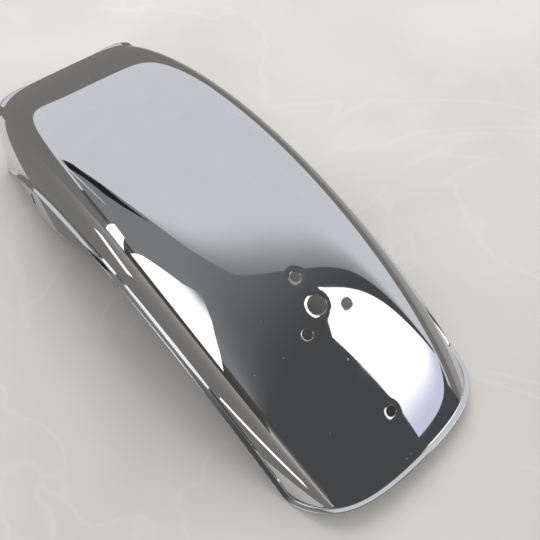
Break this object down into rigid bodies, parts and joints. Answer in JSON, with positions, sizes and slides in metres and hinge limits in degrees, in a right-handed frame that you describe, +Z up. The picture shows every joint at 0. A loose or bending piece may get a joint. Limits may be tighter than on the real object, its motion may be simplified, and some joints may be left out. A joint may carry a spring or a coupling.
{
  "type": "motorcycle rear mudguard",
  "caption": "Arched rear mudguard pressed from chromed steel sheet, with a rounded tail, an out-turned lip, side tabs for mounting and holes for a tail lamp.",
  "frame": {"origin": "on the floor under the middle of the length and width, with the mudguard lying open side down", "axes": "+X to the front end of the mudguard, +Y to its left side, +Z up"},
  "size_m": [0.4266, 0.18, 0.0955],
  "materials": {
    "chrome": "polished chrome plating"
  },
  "bodies": {
    "root": {"mudguard": "chrome"}
  },
  "joints": []
}
